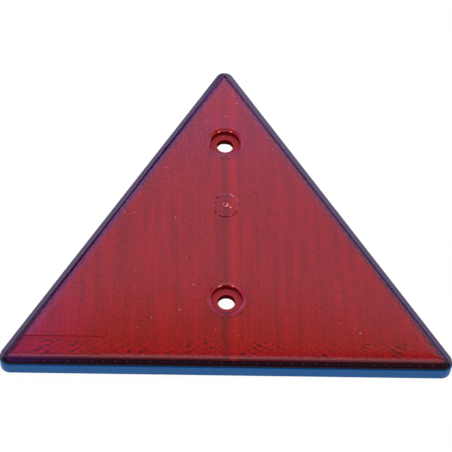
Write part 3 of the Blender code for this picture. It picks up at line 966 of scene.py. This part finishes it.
def gate_solids(gate, inside):
    """The disc that the moulding gate left, and the stub that broke off askew in its middle."""
    y = middle_y() + gate.rise
    top = FRONT + gate.height
    rim = FRONT + GATE_BEND * gate.height
    radius = gate.diameter / 2
    disc = bmesh.new()
    turned(disc, y, [
        (radius, inside), (radius, FRONT), (radius - gate.border, rim),
        (radius - 2 * gate.border, top)])
    # Painted highlight on one side of the border, painted shade in arcs and dashes on the others
    mark(disc, y, FRONT, rim, GATE_HIGHLIGHT, FROST_AND_GLINT)
    mark(disc, y, rim, top, GATE_SHADE_ARCS, BORE_SHADE)
    mark(disc, y, FRONT, rim, GATE_SHADE_DASHES, BORE_SHADE)
    bmesh.ops.scale(disc, vec=(1, gate.stretch, 1), space=Matrix.Translation((0, -y, 0)),
                    verts=disc.verts[:])
    stub = bmesh.new()
    places = [(gate.stub / share, top + height * MM) for share, height, _ in STUB]
    turned(stub, y, [(places[0][0], inside), *places], [CLEAR, *(finish for *_, finish in STUB)])
    inner = [vert for vert in stub.verts if (vert.co.xy - Vector((0, y))).length < gate.stub / 3]
    slant = [share * gate.stub for share in STUB_SLANT]
    bmesh.ops.translate(stub, vec=(*slant, 0), verts=inner)
    # A pale chip beside it: crazed acrylic and a painted highlight
    away, up = (share * gate.stub for share in CHIP_PLACE)
    chip = Matrix.Translation((away, y + up, top))
    broken = bmesh.ops.create_icosphere(
        stub, subdivisions=1, radius=CHIP_RADIUS * gate.stub, matrix=chip)
    for face in {face for vert in broken["verts"] for face in vert.link_faces}:
        face.material_index = FROST_AND_GLINT
    return shown("gate_disc", disc), shown("gate_stub", stub)


def add_pips(lens, weld, corner, frost_and_glint):
    """Adds the pips of painted highlight along the lower side to the lens's mesh."""
    line = bmesh.new()
    height = RIM_FOOT + weld.radius
    ring = [line.verts.new(point) for point in outline(weld.inset, height, corner)]
    for near, far in zip(ring, ring[1:] + ring[:1]):
        low = max(near.co.y, far.co.y) < middle_y()
        if low and (near.co - far.co).length > weld.spacing:
            line.edges.new((near, far))
    pips = grow("painted_glint_pips", pip_tree(), {
        "Spacing": weld.spacing, "Radius": weld.radius, "Finish": frost_and_glint}, line)
    joined = bmesh.new()
    joined.from_mesh(lens.data)
    count = len(joined.faces)
    joined.from_mesh(pips.data)
    joined.faces.ensure_lookup_table()
    for face in joined.faces[count:]:
        face.material_index = FROST_AND_GLINT
    joined.to_mesh(lens.data)
    joined.free()
    bpy.data.objects.remove(pips, do_unlink=True)


class REFLECTOR_OT_lens(bpy.types.Operator):
    """Builds the red lens: plate, rim, rib, bosses, gate mark and prisms"""
    bl_idname = "reflector.lens"
    bl_label = "Build the red lens"

    def execute(self, context):
        sizes = context.scene.reflector_lens
        finishes = lens_finishes()
        places, bands = lens_places()
        lens = shown("red_lens", lofted(places, sizes.corner_radius + LENS_STEP, bands))
        for finish in finishes:
            lens.data.materials.append(finish)
        prisms = prism_block(finishes)
        bosses, bores = boss_solids(sizes)
        disc, stub = gate_solids(context.scene.reflector_gate, FRONT - sizes.plate / 2)
        label = shown("label_recess", label_recess())
        combine(lens, (prisms, "UNION"), (bosses, "UNION"), (bores, "DIFFERENCE"),
                (disc, "UNION"), (stub, "UNION"), (label, "DIFFERENCE"))
        smooth(lens)
        add_pips(lens, context.scene.reflector_weld, sizes.corner_radius, finishes[FROST_AND_GLINT])
        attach(lens, "root")
        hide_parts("lens")
        return {"FINISHED"}


# Larger flecks on the face, as X and Y from the origin, in millimetres
FLECKS = (
    (-6.8, 42.2), (-9.5, 36.5), (4.5, 51.8), (0.2, 45.0), (18.1, 28.7), (16.3, 34.7), (22.3, 29.3),
    (-11.9, -35.1), (-14.5, -23.2), (4.0, -56.6), (-4.1, -54.3), (-26.7, -49.6), (-31.5, -53.9),
    (47.1, -55.0), (40.2, -50.9), (-16.8, -46.0), (-22.4, 18.8), (-23.4, -10.2), (-37.6, -2.6),
    (-33.9, -3.0), (-18.7, -5.0), (-0.1, 26.6),
)


class REFLECTOR_OT_dust(bpy.types.Operator):
    """Scatters fine dust over the face of the lens"""
    bl_idname = "reflector.dust"
    bl_label = "Scatter the dust"

    def execute(self, context):
        lens = context.scene.reflector_lens
        dust = context.scene.reflector_dust
        face = bmesh.new()
        inset = LENS_STEP + lens.bevel_width + lens.crease_reach + lens.crown_width
        border = outline(inset, FRONT, lens.corner_radius)
        face.faces.new([face.verts.new(point) for point in border])
        for x, y in FLECKS:
            face.verts.new((x * MM, y * MM, FRONT))
        flecks = grow("lens_dust", dust_tree(), {
            "Density": dust.density, "Smallest": dust.smallest, "Largest": dust.largest,
            "Seed": dust.seed, "Finish": dust_material()}, face)
        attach(flecks, "root")
        return {"FINISHED"}


class REFLECTOR_OT_tray(bpy.types.Operator):
    """Builds the blue tray with a collar under each boss"""
    bl_idname = "reflector.tray"
    bl_label = "Build the blue tray"

    def execute(self, context):
        sizes = context.scene.reflector_tray
        lens = context.scene.reflector_lens
        places = quarter(sizes.foot_round, sizes.foot_round, sizes.foot_round, -90, 0)
        places += quarter(sizes.lip_round, LIP - sizes.lip_round, sizes.lip_round, 0, 90)
        places += [(sizes.wall, LIP), (sizes.wall, sizes.floor)]
        tray = shown("blue_tray", lofted(places, sizes.corner_radius))
        tray.data.materials.append(tray_material())
        collars = bmesh.new()
        bores = bmesh.new()
        boss = lens.counterbore / 2 + lens.boss_wall
        for y in HOLES:
            turned(collars, y, [(boss, sizes.floor / 2), (boss, BOSS_FOOT - SKIN)])
            turned(bores, y, [(sizes.collar_bore / 2, -MM), (sizes.collar_bore / 2, FRONT)])
        combine(tray, (shown("collars", collars), "UNION"), (shown("bores", bores), "DIFFERENCE"))
        smooth(tray)
        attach(tray, "root")
        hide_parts("back_tray")
        return {"FINISHED"}


# What the polished face mirrors, by height in degrees: red, green and blue light
SWEEP = (
    (0.0, 1.0, 1.0, 1.0),
    (26.0, 2.2, 1.7, 3.1),
    (35.0, 2.2, 1.7, 3.1),
    (38.6, 1.9, 1.15, 2.7),
    (39.8, 1.3, 0.80, 1.9),
    (40.8, 0.8, 0.45, 1.1),
    (41.2, 0.45, 0.13, 0.6),
    (43.6, 0.45, 0.13, 0.6),
    (44.6, 1.6, 1.3, 2.9),
    (47.0, 1.65, 1.45, 2.7),
    (48.2, 1.35, 1.25, 2.0),
    (49.4, 1.3, 1.2, 2.2),
    (50.6, 1.15, 1.08, 1.60),
    (52.5, 1.00, 0.96, 1.30),
    (54.8, 0.90, 0.90, 1.12),
    (57.0, 0.42, 0.42, 0.36),
    (58.0, 0.38, 0.34, 0.36),
    (59.5, 0.32, 0.27, 0.36),
    (64.0, 0.30, 0.25, 0.36),
    (68.0, 1.1, 1.0, 1.2),
    (73.0, 1.1, 1.0, 1.2),
    (75.0, 0.45, 0.20, 0.35),
    (90.0, 0.20, 0.12, 0.25),
)
SWEEP_STRENGTH = 3.6
# What it mirrors besides, a little to the left of the middle: a violet tint, and beyond it a dark
# bar, which the crease mirrors. A pair is where one of them sets in or ends, along X.
TINT = (0.5, 0.1, 1.5)
TINT_START = (-0.03, -0.13)
TINT_END = (-0.19, -0.14)
BAR = (0.45, 0.13, 0.6)
BAR_END = (-0.255, -0.225)
ROOM = (0.1, 0.1, 0.12)         # what it mirrors on the camera's side
BEHIND = (-0.1, 0.1)            # where along Y the room gives way to the sweep
PAPER = (0.95, 0.95, 0.95, 1.0)
WHITE = (1.0, 1.0, 1.0, 1.0)
PAPER_GLOW = 1.03               # over 1, so that the background is white
GLOW_SHARE = 0.92               # the rest is paper, which takes the reflector's shadow
FLOOR_HALF = 4.0
SENSOR = 36.0                   # width in millimetres
NEAREST = 0.01                  # what is nearer than this to the camera isn't seen


def camera_axes(look):
    """The camera's right, up and backward directions."""
    azimuth, elevation, roll = (radians(turn) for turn in (look.azimuth, look.elevation, look.roll))
    back = Vector((sin(azimuth) * cos(elevation), -cos(azimuth) * cos(elevation), sin(elevation)))
    level = Vector((cos(azimuth), sin(azimuth), 0))
    upright = back.cross(level)
    right = cos(roll) * level + sin(roll) * upright
    up = cos(roll) * upright - sin(roll) * level
    return right, up, back


def placed(name, data, axes, place):
    """Puts a camera or a lamp into the scene, with its own axes and place."""
    item = bpy.data.objects.new(name, data)
    bpy.context.scene.collection.objects.link(item)
    item.matrix_world = Matrix.Translation(place) @ Matrix(axes).transposed().to_4x4()
    return item


def paper_floor():
    """White paper, matt and uncoated: it glows for the camera and takes a soft shadow."""
    mesh = bmesh.new()
    bmesh.ops.create_grid(
        mesh, x_segments=1, y_segments=1, size=FLOOR_HALF, matrix=Matrix.Translation((0, 0, -SKIN)))
    floor = shown("floor", mesh)
    material, tree = new_material("white_paper")
    rays = node(tree, "ShaderNodeLightPath").outputs
    diffuse = node(tree, "ShaderNodeBsdfDiffuse", {"Color": PAPER})
    glow = node(tree, "ShaderNodeEmission", {"Color": WHITE, "Strength": PAPER_GLOW})
    sharp = node(tree, MATH, (rays["Is Glossy Ray"], rays["Is Transmission Ray"]),
                 operation="MAXIMUM")
    direct = node(tree, MATH, (rays["Is Camera Ray"], sharp), operation="MAXIMUM")
    seen = node(tree, MATH, (direct, GLOW_SHARE), operation="MULTIPLY")
    paper = node(tree, "ShaderNodeMixShader", (seen, diffuse, glow))
    node(tree, "ShaderNodeOutputMaterial", (paper,))
    floor.data.materials.append(material)
    return floor


def mirrored_light(level):
    """A level of light that the face mirrors, as a colour for the sweep's strength."""
    return (*(share / SWEEP_STRENGTH for share in level), 1.0)


def studio_world():
    """An even room, in which only what the polished lens mirrors has a pattern."""
    world = bpy.data.worlds.new("studio")
    world.use_nodes = True
    tree = world.node_tree
    tree.nodes.clear()
    rays = node(tree, "ShaderNodeLightPath").outputs
    way = node(tree, "ShaderNodeTexCoord").outputs["Generated"]
    heading = node(tree, SEPARATE, (way,)).outputs
    ramp = node(tree, "ShaderNodeValToRGB", (heading["Z"],))
    stops = ramp.color_ramp.elements
    for index, (elevation, *level) in enumerate(SWEEP):
        stop = stops[index] if index < 2 else stops.new(1.0)
        stop.position = sin(radians(elevation))
        stop.color = mirrored_light(level)
    near = node(tree, RANGE, (heading["X"], *TINT_START), **SOFT)
    far = node(tree, RANGE, (heading["X"], *TINT_END), **SOFT)
    end = node(tree, RANGE, (heading["X"], *BAR_END), **SOFT)
    leftward = node(tree, MATH, (near, far), operation="MULTIPLY")
    tinged = node(tree, MIX, {
        "Factor": leftward, "A": ramp, "B": mirrored_light(TINT)}, blend_type="ADD", **COLOUR)
    bar = node(tree, MATH, (end, far), operation="SUBTRACT")
    barred = node(tree, MIX, {"Factor": bar, "A": tinged, "B": mirrored_light(BAR)}, **COLOUR)
    behind = node(tree, RANGE, (heading["Y"], *BEHIND))
    around = node(tree, MIX, {"Factor": behind, "A": mirrored_light(ROOM), "B": barred}, **COLOUR)
    sweep = node(tree, "ShaderNodeBackground", (around, SWEEP_STRENGTH))
    even = node(tree, "ShaderNodeBackground", {"Strength": 1.0})
    mirrored = node(tree, MATH, (rays["Is Glossy Ray"], rays["Is Transmission Ray"]),
                    operation="SUBTRACT", use_clamp=True)
    lit = node(tree, "ShaderNodeMixShader", (mirrored, even, sweep))
    node(tree, "ShaderNodeOutputWorld", (lit,))
    return world


class REFLECTOR_OT_stage(bpy.types.Operator):
    """Sets the floor, the sweep, the light and the camera"""
    bl_idname = "reflector.stage"
    bl_label = "Set the stage"

    def execute(self, context):
        look = context.scene.reflector_stage
        axes = camera_axes(look)
        data = bpy.data.cameras.new("camera")
        data.lens = look.lens
        data.sensor_width = SENSOR
        data.clip_start = NEAREST
        aim = Vector((0, middle_y(), FRONT)) + Vector(look.aim)
        context.scene.camera = placed("camera", data, axes, aim + look.distance * axes[2])
        paper_floor()
        context.scene.world = studio_world()

        # A soft lamp high behind the reflector gives the crease and the screw seats their shine
        lamp = bpy.data.lights.new("softbox", "AREA")
        lamp.shape = "RECTANGLE"
        lamp.size = look.lamp_width
        lamp.size_y = look.lamp_height
        lamp.energy = look.lamp_power
        across = Vector((1, 0, 0))
        elevation = radians(look.lamp_elevation)
        away = Vector((0, cos(elevation), sin(elevation)))
        placed("softbox", lamp, (across, away.cross(across), away), look.lamp_distance * away)
        context.scene.view_settings.view_transform = "Standard"
        return {"FINISHED"}


class REFLECTOR_PT_panel(bpy.types.Panel):
    """Lists the operators"""
    bl_idname = "REFLECTOR_PT_panel"
    bl_label = "Triangular reflector"
    bl_space_type = "VIEW_3D"
    bl_region_type = "UI"
    bl_category = "Reflector"

    def draw(self, context):
        for operator in OPERATORS:
            self.layout.operator(operator.bl_idname)


OPERATORS = (REFLECTOR_OT_lens, REFLECTOR_OT_dust, REFLECTOR_OT_tray, REFLECTOR_OT_stage)
GROUPS = {
    "reflector_lens": LensSizes,
    "reflector_prisms": PrismSizes,
    "reflector_gate": GateSizes,
    "reflector_label": LabelSizes,
    "reflector_weld": GlintPipSizes,
    "reflector_dust": DustSizes,
    "reflector_tray": TraySizes,
    "reflector_finishes": Finishes,
    "reflector_stage": StageLook,
}


def register():
    """Registers the property groups, the operators and the panel."""
    for name, group in GROUPS.items():
        bpy.utils.register_class(group)
        setattr(bpy.types.Scene, name, PointerProperty(type=group))
    for item in (*OPERATORS, REFLECTOR_PT_panel):
        bpy.utils.register_class(item)


def unregister():
    """Takes everything out again."""
    for item in (REFLECTOR_PT_panel, *reversed(OPERATORS)):
        bpy.utils.unregister_class(item)
    for name, group in GROUPS.items():
        delattr(bpy.types.Scene, name)
        bpy.utils.unregister_class(group)


def main():
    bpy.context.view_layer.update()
    register()
    bpy.ops.reflector.lens()
    bpy.ops.reflector.dust()
    bpy.ops.reflector.tray()
    bpy.ops.reflector.stage()


if __name__ == "__main__":
    main()
